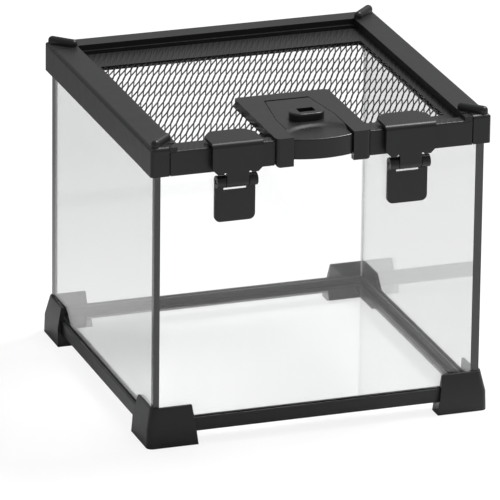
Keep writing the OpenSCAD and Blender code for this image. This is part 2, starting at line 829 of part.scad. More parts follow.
// Bearing for the end of a door pin, under the housing's top plate
module door_ear() {
    x0 = door_back_half_w + door_gap;
    difference() {
        box(x0 + 0.6, ear_x, door_pin_y - 2.4, door_rear + door_gap, door_pin_z - 2.4, plate_z + e);
        translate([0, door_pin_y, door_pin_z]) rotate([0, 90, 0]) cylinder(r = door_pin_r, h = 60);
    }
}

module door_pins() {
    x0 = door_back_half_w;
    color(STEEL) top() for (s = [-1, 1]) side(s) translate([x0 - door_pin_len, door_pin_y, door_pin_z])
        rotate([0, 90, 0]) cylinder(r = door_pin_r, h = door_pin_len + door_gap + 4);
}

module hatch_door() {
    yb = front_rail_y - lid_gap - lid_gap;
    slot_w = neck_w / 2 + neck_gap;
    color(BLACK) top() difference() {
        union() {
            intersection() {
                translate([0, 0, plate_z]) linear_extrude(height = hatch_t) door_outline();
                along_x(-60, 60) door_2d();
            }
            along_x(-door_back_half_w, door_back_half_w)
                translate([door_pin_y, door_pin_z]) circle(door_barrel_r);
            box(-door_half_w, door_half_w, fy, fy + 17, lid_top_z + 0.4, plate_z + e);
            intersection() {
                translate([0, bulge_y, door_low_z]) rotate_extrude($fn = 160)
                    round_top(0, bulge_r, 0, door_lip_z - door_low_z, lip_r);
                box(-door_half_w, door_half_w, fy - 12, yb, 0, 40);
            }
        }
        door_hollow();
        scoop();
        for (s = [-1, 1]) side(s) translate([door_back_half_w - door_pin_len - 0.3, door_pin_y, door_pin_z])
            rotate([0, 90, 0]) cylinder(r = door_pin_r + pin_gap, h = door_pin_len + 1);
        box(-slot_w, slot_w, knob_y - neck_d / 2 - neck_gap,
            knob_y + neck_d / 2 + knob_travel + neck_gap, 0, 40);
    }
}

// The space behind the door's bulging front, open at the bottom
module door_hollow() {
    x1 = door_half_w - door_wall;
    translate([0, 0, door_low_z - 1]) linear_extrude(height = lid_top_z + 1.4 - door_low_z)
        intersection() {
            door_front_plan(door_wall);
            translate([-x1, fy - 12]) square([x1 * 2, 23]);
        }
}

// Plan of the door with its bulging front
module door_outline() {
    intersection() {
        door_plan(0);
        union() {
            translate([-30, fy + 2]) square([60, 80]);
            door_front_plan(lip_r);
        }
    }
}

// Side view of the door's flat plate
module door_2d() {
    flat(fy - 12, door_pin_y, plate_z, hatch_top);
}

// Plan of the bulging front, moved back by t
module door_front_plan(t) {
    intersection() {
        translate([0, bulge_y]) circle(bulge_r - t, $fn = 160);
        translate([-30, fy - 12]) square([60, 23]);
    }
}

module scoop() {
    d = hatch_top - door_lip_z;
    yc = fy + scoop_back - scoop_r;
    translate([0, yc, door_lip_z]) cylinder(r1 = scoop_r - scoop_slope, r2 = scoop_r, h = d + e, $fn = 96);
    translate([0, yc, hatch_top]) cylinder(r = scoop_r, h = 3, $fn = 96);
}

// Slide knob and its keeper

module knob_plan(w, d) {
    for (s = [-1, 1]) translate([s * (w - d) / 2, 0]) circle(d / 2);
    square([w - d, d], center = true);
}

module slide_knob() {
    r = knob_r;
    z0 = hatch_top + knob_play;
    color(BLACK) top() translate([0, knob_y, 0]) difference() {
        union() {
            translate([0, 0, z0]) {
                linear_extrude(height = knob_h - r - knob_play) knob_plan(knob_w, knob_d);
                linear_extrude(height = knob_h - knob_play) knob_plan(knob_w - r * 2, knob_d - r * 2);
            }
            translate([0, 0, hatch_top + knob_h - r]) knob_edge();
            box(-neck_w / 2, neck_w / 2, -neck_d / 2, neck_d / 2, plate_z - keeper_play, z0 + 1);
        }
        translate([0, pocket_back, 0]) box(-pocket_w / 2, pocket_w / 2, -pocket_d / 2, pocket_d / 2,
            hatch_top + pocket_floor, 40);
    }
}

// The rounded edge round the knob's top
module knob_edge() {
    r = knob_r;
    half = (knob_w - knob_d) / 2;
    for (s = [-1, 1]) {
        translate([s * half, 0, 0]) rotate_extrude() translate([knob_d / 2 - r, 0]) circle(r, $fn = 24);
        translate([-half, s * (knob_d / 2 - r), 0]) rotate([0, 90, 0])
            cylinder(r = r, h = half * 2, $fn = 24);
    }
}

module slide_keeper() {
    x1 = neck_w / 2 + keeper_over_x;
    y1 = neck_d / 2 + keeper_over_y;
    z1 = plate_z - keeper_play;
    color(BLACK) top() translate([0, knob_y, 0]) box(-x1, x1, -y1, y1, z1 - keeper_t, z1);
}

// Latch brackets, pins and levers

module bracket_front_plan() {
    h = bracket_w / 2;
    t = tongue_w / 2;
    c = bracket_low_cut;
    z0 = -bracket_drop;
    difference() {
        polygon([[-h, bracket_top + 1], [h, bracket_top + 1], [h, z0 + c], [h - c, z0], [t, z0],
            [t, pin_z], [-t, pin_z], [-t, z0], [-h + c, z0], [-h, z0 + c]]);
        for (k = [-1, 1]) translate([k * (t + relief_r * 0.8), z0]) circle(relief_r);
    }
}

module bracket_top_plan() {
    h = bracket_w / 2;
    y1 = fy + bracket_back;
    c = bracket_cut;
    polygon([[-h, fy - 9], [h, fy - 9], [h, y1 - c], [h - c * 0.6, y1 - 1], [h - c, y1], [-h + c, y1],
        [-h + c * 0.6, y1 - 1], [-h, y1 - c]]);
}

// Section of the bent bracket in y and z
module bracket_2d() {
    y0 = fy - bracket_out;
    t = bracket_t;
    difference() {
        mirror([1, 0]) round_top(-fy - bracket_back, -y0, -20, bracket_top, bend_r);
        mirror([1, 0]) round_top(-fy - bracket_back - 1, -y0 - t, -21, bracket_top - t, bend_r - t);
    }
}

module latch_bracket(s) {
    zl = bracket_top - bracket_t;
    color(BLACK) top() side(s) translate([latch_x, 0, 0]) difference() {
        union() {
            intersection() {
                along_x(-bracket_w / 2, bracket_w / 2) bracket_2d();
                along_y(fy - 9, fy + 30) bracket_front_plan();
                translate([0, 0, -20]) linear_extrude(height = 60) bracket_top_plan();
            }
            box(-bracket_w / 2 + 3, bracket_w / 2 - 3, fy + 1, beam_y - lid_gap, beam_top, zl + e);
            box(-8, 8, beam_y, fy + bracket_back - 2, lid_top_z, zl + e);
            along_x(-tongue_w / 2, tongue_w / 2) tongue_2d();
        }
        translate([-50, pin_y, pin_z]) rotate([0, 90, 0]) cylinder(r = latch_pin_r, h = 100);
    }
}

// The tongue's lower end, which wraps round the pin
module tongue_2d() {
    y0 = fy - bracket_out;
    polygon([[y0, 0], [y0 + bracket_t, 0], [pin_y, pin_z + barrel_r - 1], [pin_y, pin_z],
        [pin_y - barrel_r, pin_z]]);
    translate([pin_y, pin_z]) circle(barrel_r);
}

module latch_pin(s) {
    color(STEEL) top() side(s) translate([latch_x - lever_w / 2 + 0.6, pin_y, pin_z]) rotate([0, 90, 0])
        cylinder(r = latch_pin_r, h = lever_w - 1.2);
}

module lever_plan() {
    h = lever_w / 2;
    difference() {
        flat(-h, h, -lever_low, pin_z + 1);
        for (k = [-1, 1]) round_corner(k * h, -lever_low, k, -1, lever_r);
        flat(-tongue_w / 2 - tongue_gap, tongue_w / 2 + tongue_gap, pin_z - barrel_r - lever_slot, 9);
    }
}

module latch_lever(s) {
    y1 = pin_y + barrel_r - 0.2;
    color(BLACK) top() side(s) translate([latch_x, 0, 0]) difference() {
        union() {
            along_y(y1 - lever_t, y1) lever_plan();
            for (k = [-1, 1]) side(k) along_x(tongue_w / 2 + tongue_gap, lever_w / 2)
                translate([pin_y, pin_z]) circle(barrel_r);
        }
        translate([-50, pin_y, pin_z]) rotate([0, 90, 0]) cylinder(r = latch_pin_r + pin_gap, h = 100);
    }
}

corner_foot(-1, -1, gyf);  // foot_front_left
corner_foot(1, -1, gyf);  // foot_front_right
corner_foot(-1, 1, gyb);  // foot_back_left
corner_foot(1, 1, gyb);  // foot_back_right
bottom_rail_front();
bottom_rail_back();
bottom_rail_side(-1);  // bottom_rail_left
bottom_rail_side(1);  // bottom_rail_right
base_glass();
front_glass();
back_glass();
side_glass(-1);  // left_glass
side_glass(1);  // right_glass
seal_front(-1);  // seal_front_left
seal_front(1);  // seal_front_right
seal_back(-1);  // seal_back_left
seal_back(1);  // seal_back_right
top_corner_front(-1);  // top_corner_front_left
top_corner_front(1);  // top_corner_front_right
top_corner_back(-1);  // top_corner_back_left
top_corner_back(1);  // top_corner_back_right
top_rail_side(-1);  // top_rail_left
top_rail_side(1);  // top_rail_right
top_rail_back();
top_rail_front();
lid_hinge_pins();
lid_frame();
mesh_screen();
hatch_housing();
latch_bracket(-1);  // latch_bracket_left
latch_bracket(1);  // latch_bracket_right
latch_pin(-1);  // latch_pin_left
latch_pin(1);  // latch_pin_right
door_pins();
hatch_door();
slide_knob();
slide_keeper();
latch_lever(-1);  // latch_lever_left
latch_lever(1);  // latch_lever_right
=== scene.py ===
"""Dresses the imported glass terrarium: moulded plastic, panes, seals, pins, wire mesh and the stage."""
import math

import bpy
import numpy as np
from bpy.props import FloatProperty, FloatVectorProperty, PointerProperty
from mathutils import Matrix, Vector


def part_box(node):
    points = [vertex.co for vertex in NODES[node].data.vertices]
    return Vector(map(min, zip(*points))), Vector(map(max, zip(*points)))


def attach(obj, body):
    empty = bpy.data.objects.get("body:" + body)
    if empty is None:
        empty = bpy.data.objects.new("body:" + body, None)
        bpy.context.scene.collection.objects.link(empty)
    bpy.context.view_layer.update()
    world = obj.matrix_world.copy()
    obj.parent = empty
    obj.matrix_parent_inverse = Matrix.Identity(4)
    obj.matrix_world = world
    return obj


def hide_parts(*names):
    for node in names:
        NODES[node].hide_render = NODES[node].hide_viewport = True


bl_info = {
    "name": "Glass Terrarium",
    "version": (1, 0, 0),
    "blender": (4, 5, 0),
    "location": "View3D > Sidebar > Terrarium",
    "description": "Dresses a small glass terrarium with a mesh lid and sets its stage",
    "category": "Object",
}

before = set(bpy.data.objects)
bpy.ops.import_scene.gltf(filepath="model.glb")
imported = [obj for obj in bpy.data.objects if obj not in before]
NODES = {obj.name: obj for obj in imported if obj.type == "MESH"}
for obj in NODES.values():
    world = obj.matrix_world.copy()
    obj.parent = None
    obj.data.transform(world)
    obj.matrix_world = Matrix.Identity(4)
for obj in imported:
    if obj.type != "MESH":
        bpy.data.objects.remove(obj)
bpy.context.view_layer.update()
MM = 0.001

# Nodes that share a material, and the corners that the wire mesh is fitted between
FRAME_NODES = [n for n in NODES if n.startswith(("top_rail", "top_corner"))]
HATCH_NODES = ["hatch_housing", "hatch_door", "slide_keeper"]
LATCH_NODES = [n for n in NODES if n.startswith(("latch_bracket", "latch_lever"))]
BASE_NODES = [n for n in NODES if n.startswith(("foot", "bottom_rail"))]
PIN_NODES = ["lid_hinge_pins", "door_pins", "latch_pin_left", "latch_pin_right"]
DARK_SEALS = ["seal_front_left", "seal_front_right", "seal_back_left"]
SHEET_LOW, SHEET_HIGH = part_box("mesh_screen")
HATCH_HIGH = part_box("hatch_housing")[1]

# Flat rim that the lid holds the wire mesh by, and how far its rim round the hatch reaches to either side
RIM = 2.2 * MM
HATCH_RIM = 1.0 * MM
# Strands on each side of the mesh's middle, and gaps along a strand on each side
STRANDS_PER_SIDE = 75
GAPS_PER_SIDE = 5
# Slope of a strand's swing from bond to bond, the share of it that is rounded, and how far a strand lies to
# one side of a bond's middle, as a share of the swing
SWING_SLOPE = 1.5
SWING_ROUND = 0.35
BESIDE_BOND = 0.035
# How far the strands lie below the sheet's top, and how much lower in every second row of bonds
STRAND_BELOW = 0.12 * MM
STRAND_DIP = 0.10 * MM
# The mesh's imprint falls from its full height to nothing over one line spacing divided by this
IMPRINT_FALL = 5.0

# A face looks along an axis when its normal's share along that axis is above this
SQUARE_ON = 0.9
# Softening of edges: the gap that is welded, the least bend that is rounded, the weight of large faces
WELD_GAP = 0.01 * MM
LEAST_BEND = math.radians(32)
LARGE_FACE_WEIGHT = 90
# Strength of a pane's tint where its glass is least even, and of light through the clear sealant
UNEVEN_TINT = 0.985
CLEAR_TINT = 0.97

# The stage's floor, the point that the lamp is turned to, and the camera's fixed values
FLOOR_REACH = 6.0
FLOOR_THICKNESS = 0.01
LAMP_AIM = Vector((0, 0, 0.1))
SENSOR_WIDTH = 36.0
CLIP_RANGE = 0.05, 40.0


# Settings, each with its own unit


class PlasticSettings(bpy.types.PropertyGroup):
    """The black moulded plastic of the frame, feet, lid and latches."""

    colour: FloatVectorProperty(name="Colour", description="Base colour of the plastic", subtype="COLOR",
                                size=3, min=0, max=1, default=(0.0106, 0.0109, 0.0116))
    vary: FloatProperty(name="Vary", description="How far the colour strays either way", min=0, max=0.5,
                        default=0.15, subtype="FACTOR")
    roughness: FloatProperty(name="Roughness", description="Mean roughness of the satin surface",
                             min=0.1, max=0.9, default=0.40, subtype="FACTOR")
    wiping: FloatProperty(name="Wiping", description="How far the roughness strays either way", min=0,
                          max=0.2, default=0.06, subtype="FACTOR")
    polish: FloatProperty(name="Polish", description="How much smoother the hatch and knob are",
                          min=0, max=0.2, default=0.07, subtype="FACTOR")
    specular: FloatProperty(name="Specular", description="Strength of the reflection straight on",
                            min=0, max=1, default=0.28, subtype="FACTOR")
    edge: FloatProperty(name="Edge radius", description="Softening of the moulded edges",
                        min=0, max=0.001, default=0.00032, unit="LENGTH", precision=5)
    knob_edge: FloatProperty(name="Knob edge radius", description="Softening of the knob's edges",
                             min=0, max=0.002, default=0.0007, unit="LENGTH", precision=5)


class GlassSettings(bpy.types.PropertyGroup):
    """The panes: one glass whose own colour is the clear tint; the darker left, right and base tints are
    painted shade.
    """

    # Painted shade: the left, right and base tints are darker than the clear tint of the same glass, to give
    # those panes the darker look that they have in this light
    left: FloatVectorProperty(name="Left tint", description="Colour of light through the left pane",
                              subtype="COLOR", size=3, min=0, max=1, default=(0.725, 0.733, 0.73))
    right: FloatVectorProperty(name="Right tint", description="Colour of light through the right pane",
                               subtype="COLOR", size=3, min=0, max=1, default=(0.655, 0.66, 0.658))
    base: FloatVectorProperty(name="Base tint", description="Colour of light through the base pane",
                              subtype="COLOR", size=3, min=0, max=1, default=(0.86, 0.865, 0.863))
    clear: FloatVectorProperty(name="Clear tint", description="Colour of light through front and back panes",
                               subtype="COLOR", size=3, min=0, max=1, default=(0.985, 0.99, 0.988))
    ends: FloatVectorProperty(name="Ground ends", description="Colour of the back pane's matt ends",
                              subtype="COLOR", size=3, min=0, max=1, default=(0.86, 0.875, 0.865))
    index: FloatProperty(name="Index", description="Index of refraction of the panes", min=1.3, max=1.7,
                         default=1.5)


class SealSettings(bpy.types.PropertyGroup):
    """The sealant in the upright corners."""

    dark: FloatVectorProperty(name="Dark sealant", description="Colour of the three dark seals",
                              subtype="COLOR", size=3, min=0, max=1, default=(0.125, 0.125, 0.127))
    # Painted light: the dark seals' emission, which lightens them where little light reaches them behind
    # their panes
    painted_light: FloatProperty(name="Glow", description="Light that scatters inside a dark seal behind its pane",
                        min=0, max=0.1, default=0.018)
    pale: FloatVectorProperty(name="Clear sealant", description="Colour of the seal at the back right",
                              subtype="COLOR", size=3, min=0, max=1, default=(0.66, 0.67, 0.68))
    through: FloatProperty(name="Through", description="Share of light that passes the clear sealant",
                           min=0, max=1, default=0.88, subtype="FACTOR")


class MetalSettings(bpy.types.PropertyGroup):
    """The steel pins and the coated wire."""

    steel: FloatVectorProperty(name="Steel", description="Colour of the drawn steel pins", subtype="COLOR",
                               size=3, min=0, max=1, default=(0.42, 0.42, 0.435))
    coat: FloatVectorProperty(name="Wire coat", description="Colour of the dip coat on the wire mesh",
                              subtype="COLOR", size=3, min=0, max=1, default=(0.01, 0.01, 0.0105))


class MeshSettings(bpy.types.PropertyGroup):
    """The expanded wire mesh of the lid."""

    first_angle: FloatProperty(name="First angle", description="Angle of the steeper strands to the width",
                               min=1.0, max=1.4, default=math.radians(68.0), unit="ROTATION")
    second_angle: FloatProperty(name="Second angle", description="Angle of the flatter strands to the width",
                                min=0.8, max=1.2, default=math.radians(58.5), unit="ROTATION")
    first_edge: FloatProperty(name="First edge", description="Length of a gap's steeper edge", min=0.01,
                              max=0.03, default=0.0186, unit="LENGTH", precision=4)
    second_edge: FloatProperty(name="Second edge", description="Length of a gap's flatter edge", min=0.01,
                               max=0.03, default=0.01927, unit="LENGTH", precision=4)
    strand: FloatProperty(name="Strand width", description="Width of one strand", min=0.0002, max=0.001,
                          default=0.00068, unit="LENGTH", precision=5)
    depth: FloatProperty(name="Strand depth", description="Depth of one strand", min=0.0002, max=0.001,
                         default=0.0005, unit="LENGTH", precision=5)
    step: FloatProperty(name="Step", description="Distance between two sections along a strand", min=0.0005,
                        max=0.003, default=0.0013, unit="LENGTH", precision=4)
    start: FloatVectorProperty(name="Start", description="Start of the pattern, from the sheet's middle",
                               size=2, default=(0.00179, 0.00869), unit="LENGTH", precision=5)


class StageSettings(bpy.types.PropertyGroup):
    """Camera, lamp, sky and floor."""

    azimuth: FloatProperty(name="Azimuth", description="Camera's angle round the object from the front",
                           default=math.radians(-19.30), unit="ROTATION")
    elevation: FloatProperty(name="Elevation", description="Camera's angle above the horizon",
                             default=math.radians(20.36), unit="ROTATION")
    roll: FloatProperty(name="Roll", description="Camera's turn about its own axis",
                        default=math.radians(-0.68), unit="ROTATION")
    lens: FloatProperty(name="Lens", description="Focal length on a 36 mm sensor", default=474.9,
                        unit="CAMERA")
    distance: FloatProperty(name="Distance", description="Camera's distance from the point it looks at",
                            default=3.7416, unit="LENGTH", precision=4)
    aim: FloatVectorProperty(name="Aim", description="Point that the middle of the picture shows", size=3,
                             default=(-0.016282, -0.022154, 0.083302), unit="LENGTH", precision=5)
    sky: FloatProperty(name="Sky", description="Strength of the even light from all sides", min=0, max=2,
                       default=0.5)
    lamp_power: FloatProperty(name="Lamp power", description="Power of the soft lamp overhead", min=0,
                              max=200, default=33.0, unit="POWER")
    lamp_size: FloatProperty(name="Lamp size", description="Width of the soft lamp", min=0.1, max=2,
                             default=0.5, unit="LENGTH")
    lamp_place: FloatVectorProperty(name="Lamp place", description="Where the soft lamp hangs", size=3,
                                    default=(0.72, 0.19, 1.41), unit="LENGTH")
    floor_near: FloatProperty(name="Floor near", description="Tone of the floor in front and underneath",
                              min=0, max=1, default=0.86, subtype="FACTOR")
    floor_far: FloatProperty(name="Floor far", description="Tone of the floor behind the object", min=0,
                             max=1, default=0.34, subtype="FACTOR")
    floor_fade: FloatProperty(name="Floor fade", description="Distance over which the floor's tone changes",
                              min=0.1, max=2, default=0.4, unit="LENGTH")
    floor_white: FloatProperty(name="Floor white", description="Share of plain white in the floor as seen",
                               min=0, max=1, default=0.8, subtype="FACTOR")
    white_near: FloatProperty(name="White near", description="Strength of that white in front", min=0, max=2,
                              default=1.06)
    white_far: FloatProperty(name="White far", description="Strength of that white behind the object", min=0,
                             max=2, default=1.2)


# Tools that build node materials


class Recipe:
    """Nodes of a material or world under construction; put() adds a node and join() links two sockets."""

    def __init__(self, owner, output="ShaderNodeOutputMaterial"):
        self.owner = owner
        owner.use_nodes = True
        self.tree = owner.node_tree
        self.tree.nodes.clear()
        self.out = self.put(output)

    def put(self, kind, **options):
        node = self.tree.nodes.new(kind)
        for key, value in options.items():
            setattr(node, key, value)
        return node

    def join(self, source, target):
        self.tree.links.new(source, target)

    def fix(self, node, values):
        """Sets the sockets of a node that are the same all over."""
        for name, value in values.items():
            node.inputs[name].default_value = value

    def place(self):
        return self.put("ShaderNodeTexCoord").outputs["Object"]

    def facing(self, axis):
        """How much a face looks along one of the object's axes, from -1 to 1."""
        return self.split(self.put("ShaderNodeTexCoord").outputs["Normal"])[axis]

    def split(self, vector):
        """The X, Y and Z sockets of a vector."""
        node = self.put("ShaderNodeSeparateXYZ")
        self.join(vector, node.inputs[0])
        return node.outputs

    def math(self, operation, a, b=None, clamp=False):
        """One arithmetic step; a and b are sockets or numbers."""
        node = self.put("ShaderNodeMath", operation=operation, use_clamp=clamp)
        for socket, value in zip(node.inputs, (a, b)):
            if isinstance(value, (int, float)):
                socket.default_value = value
            elif value is not None:
                self.join(value, socket)
        return node.outputs[0]

    def noise(self, vector, scale, detail=3.0, rough=0.55):
        """Cloudy values from 0 to 1; scale is in clouds per metre."""
        node = self.put("ShaderNodeTexNoise")
        self.fix(node, {"Scale": scale, "Detail": detail, "Roughness": rough})
        self.join(vector, node.inputs["Vector"])
        return node.outputs["Fac"]

    def spread(self, value, low, high):
        """Maps 0..1 to low..high."""
        node = self.put("ShaderNodeMapRange")
        self.fix(node, {"To Min": low, "To Max": high})
        self.join(value, node.inputs["Value"])
        return node.outputs["Result"]

    def stray(self, value, middle, reach):
        """Maps 0..1 to a middle number, less or more a reach."""
        return self.spread(value, middle - reach, middle + reach)

    def tones(self, value, dark, light):
        """Colour between two tones by a value."""
        node = self.put("ShaderNodeMix", data_type="RGBA")
        self.fix(node, {"A": (*dark, 1), "B": (*light, 1)})
        self.join(value, node.inputs["Factor"])
        return node.outputs["Result"]

    def bump(self, height, distance, strength=0.5, normal=None):
        """Normal of a surface raised by height, over another normal where one is given."""
        node = self.put("ShaderNodeBump")
        self.fix(node, {"Distance": distance, "Strength": strength})
        self.join(height, node.inputs["Height"])
        if normal is not None:
            self.join(normal, node.inputs["Normal"])
        return node.outputs["Normal"]

    def surface(self, fixed, **patterns):
        """The main shader: fixed names the sockets with one value, and patterns gives any of colour,
        roughness and normal."""
        node = self.put("ShaderNodeBsdfPrincipled")
        self.fix(node, fixed)
        for name, socket in (("colour", "Base Color"), ("roughness", "Roughness"), ("normal", "Normal")):
            if name in patterns:
                self.join(patterns[name], node.inputs[socket])
        return node

    def layer(self, share, under, over):
        """Two shaders as one: share is 0 where the first shows and 1 where the second does."""
        node = self.put("ShaderNodeMixShader")
        for socket, source in zip(node.inputs, (share, under.outputs[0], over.outputs[0])):
            self.join(source, socket)
        return node

    def seen(self):
        """1 for rays from the camera and through glass, and 0 for the rays that light things."""
        path = self.put("ShaderNodeLightPath")
        return self.math("MAXIMUM", path.outputs["Is Camera Ray"], path.outputs["Is Transmission Ray"])

    def finish(self, shader):
        self.join(shader.outputs[0], self.out.inputs["Surface"])
        return self.owner


def shades(colour, vary):
    """A darker and a lighter tone of a colour, each off by the same share."""
    return [c * (1 - vary) for c in colour], [c * (1 + vary) for c in colour]


def strand_lines(recipe, place):
    """Height of both strand families where they press on a flat face: for each family the distance across
    its lines is x sin(a) - y cos(a), divided by the lines' spacing, and a line lies where its fraction is
    near half."""
    settings = bpy.context.scene.terrarium_mesh
    parts = recipe.split(place)
    cross = math.sin(settings.first_angle - settings.second_angle)
    lines = []
    families = ((settings.first_angle, settings.second_edge), (settings.second_angle, settings.first_edge))
    for angle, edge in families:
        across = recipe.math("SUBTRACT", recipe.math("MULTIPLY", parts["X"], math.sin(angle)),
                             recipe.math("MULTIPLY", parts["Y"], math.cos(angle)))
        share = recipe.math("FRACT", recipe.math("DIVIDE", across, edge * cross))
        off = recipe.math("ABSOLUTE", recipe.math("SUBTRACT", share, 0.5))
        lines.append(recipe.math("SUBTRACT", 1.0, recipe.math("MULTIPLY", off, IMPRINT_FALL), clamp=True))
    return recipe.math("MAXIMUM", lines[0], lines[1])


def black_plastic(name, polish=0.0, imprint=False):
    """Satin black plastic: two noises vary the tone and the sheen, a fine one gives the moulded grain, and
    the lid's flat border also takes the imprint of the mesh. polish is taken off the roughness."""
    look = bpy.context.scene.terrarium_plastic
    r = Recipe(bpy.data.materials.new(name))
    place = r.place()
    colour = r.tones(r.noise(place, scale=38.0, detail=4.0), *shades(look.colour, look.vary))
    wiped = r.noise(place, scale=160.0, detail=5.0, rough=0.62)
    sheen = r.stray(wiped, look.roughness - polish, look.wiping)
    normal = r.bump(r.noise(place, scale=9000.0, detail=2.0), distance=0.01 * MM)
    if imprint:
        upward = r.math("GREATER_THAN", r.facing("Z"), SQUARE_ON)
        lines = r.math("MULTIPLY", strand_lines(r, place), upward)
        normal = r.bump(lines, distance=0.25 * MM, strength=0.7, normal=normal)
    fixed = {"Specular IOR Level": look.specular}
    return r.finish(r.surface(fixed, colour=colour, roughness=sheen, normal=normal))


def pane_glass(name, tint, ground_ends=False):
    """Float glass: a refracting body that lets shadow rays through, with a faint unevenness of its tint; a
    tint darker than the clear one is painted shade. The ends that face sideways can be ground to a pale
    matt."""
    look = bpy.context.scene.terrarium_glass
    r = Recipe(bpy.data.materials.new(name))
    place = r.place()
    tone = r.tones(r.noise(place, scale=9.0, detail=4.0), [c * UNEVEN_TINT for c in tint], tint)
    fixed = {"Transmission Weight": 1.0, "Roughness": 0.0, "IOR": look.index}
    clear = r.put("ShaderNodeBsdfTransparent")
    r.join(tone, clear.inputs["Color"])
    shadow = r.put("ShaderNodeLightPath").outputs["Is Shadow Ray"]
    pane = r.layer(shadow, r.surface(fixed, colour=tone), clear)
    if ground_ends:
        sideways = r.math("GREATER_THAN", r.math("ABSOLUTE", r.facing("X")), SQUARE_ON)
        matt = r.put("ShaderNodeBsdfTranslucent")
        r.join(r.tones(r.noise(place, scale=2500.0), *shades(look.ends, vary=0.065)), matt.inputs["Color"])
        pane = r.layer(sideways, pane, matt)
    return r.finish(pane)


def sealant(name, colour, vary, roughness, through=0.0, painted_light=0.0):
    """Cured sealant with a soft wavy skin; through is the share of light that passes straight, and the
    emission
    strength is painted light: it lightens the sealant where little light reaches it."""
    r = Recipe(bpy.data.materials.new(name))
    place = r.place()
    # The emission is painted light, which lightens the sealant where little light reaches it
    body = r.surface({"Emission Color": (1, 1, 1, 1), "Emission Strength": painted_light},
                     colour=r.tones(r.noise(place, scale=120.0), *shades(colour, vary)),
                     roughness=r.stray(r.noise(place, scale=300.0), roughness, reach=0.08),
                     normal=r.bump(r.noise(place, scale=700.0), distance=0.04 * MM))
    if through > 0:
        clear = r.put("ShaderNodeBsdfTransparent")
        r.fix(clear, {"Color": (CLEAR_TINT, CLEAR_TINT, CLEAR_TINT, 1)})
        body = r.layer(r.stray(r.noise(place, scale=60.0), through, reach=0.04), body, clear)
    return r.finish(body)


def pin_steel(name):
    """Drawn steel: fine scratches along the pins, which all run across the width."""
    steel = bpy.context.scene.terrarium_metal.steel
    r = Recipe(bpy.data.materials.new(name))
    stretch = r.put("ShaderNodeMapping")
    r.fix(stretch, {"Scale": (0.05, 1.0, 1.0)})
    r.join(r.place(), stretch.inputs["Vector"])
    scratches = r.noise(stretch.outputs[0], scale=5000.0)
    return r.finish(r.surface({"Metallic": 1.0}, colour=r.tones(scratches, *shades(steel, vary=0.24)),
                              roughness=r.stray(scratches, 0.35, reach=0.1)))


def wire_coat(name):
    """Dark coated wire with a slightly uneven dip coat."""
    coat = bpy.context.scene.terrarium_metal.coat
    r = Recipe(bpy.data.materials.new(name))
    place = r.place()
    return r.finish(r.surface({"Specular IOR Level": 0.25},
                              colour=r.tones(r.noise(place, scale=900.0), *shades(coat, vary=0.4)),
                              roughness=r.stray(r.noise(place, scale=1500.0), 0.465, reach=0.085),
                              normal=r.bump(r.noise(place, scale=4000.0), distance=0.03 * MM)))


def wear(obj, material):
    """Gives an object one material."""
    obj.data.materials.clear()
    obj.data.materials.append(material)


def soften(obj, radius):
    """Rounds a node's sharp edges by modifiers: its loose triangles are welded, edges that bend enough are
    bevelled, and normals are weighted by face area so that flat faces stay flat."""
    obj.data.polygons.foreach_set("use_smooth", [True] * len(obj.data.polygons))
    weld = obj.modifiers.new("weld", "WELD")
    weld.merge_threshold = WELD_GAP
    round_over = obj.modifiers.new("round", "BEVEL")
    round_over.width = radius
    round_over.segments = 2
    round_over.limit_method = "ANGLE"
    round_over.angle_limit = LEAST_BEND
    round_over.use_clamp_overlap = True
    even = obj.modifiers.new("even", "WEIGHTED_NORMAL")
    even.keep_sharp = False
    even.weight = LARGE_FACE_WEIGHT


# Shapes computed from whole arrays


def new_object(name, points, quads):
    """Makes a mesh object from whole arrays of points (n, 3) and quads (m, 4)."""
    mesh = bpy.data.meshes.new(name)
    mesh.from_pydata(points.tolist(), [], quads.tolist())
    mesh.validate()
    obj = bpy.data.objects.new(name, mesh)
    bpy.context.scene.collection.objects.link(obj)
    return obj


def strand_plan(settings, middle):
    """Middles of all strands in plan (strand, step, 2), and each step's swing, 0 in one row of bonds, 1 in
    the next.

    The gaps repeat by two edge vectors a and b. A strand runs on along a + b, and meanwhile swings from one
    neighbour to the other along a - b: its place is middle + t (a + b) + s(t) (a - b), where s is a triangle
    wave of t, held for a third of its way so that two strands lie together in a bond, and partly rounded.
    """
    turn = np.array([settings.first_angle, settings.second_angle])
    length = np.array([settings.first_edge, settings.second_edge])
    a, b = np.stack([np.cos(turn), np.sin(turn)], 1) * length[:, None]
    run, swing = a + b, a - b
    steps = int(np.linalg.norm(run) * GAPS_PER_SIDE * 2 / settings.step)
    t = np.linspace(-GAPS_PER_SIDE, GAPS_PER_SIDE, steps)
    k = np.arange(-STRANDS_PER_SIDE, STRANDS_PER_SIDE)
    side = np.where(k % 2 == 0, 1.0, -1.0)
    wave = np.abs(((t + 0.5) % 1.0) * 2 - 1)
    held = np.clip((wave - 0.5) * SWING_SLOPE + 0.5, 0.0, 1.0)
    swung = held * held * (3 - 2 * held) * SWING_ROUND + held * (1 - SWING_ROUND)
    shift = (np.floor(k / 2) + 0.5)[:, None] + side[:, None] * (0.5 - 0.5 * swung)[None, :]
    shift = shift - side[:, None] * BESIDE_BOND
    return middle + t[None, :, None] * run + shift[:, :, None] * swing, swung


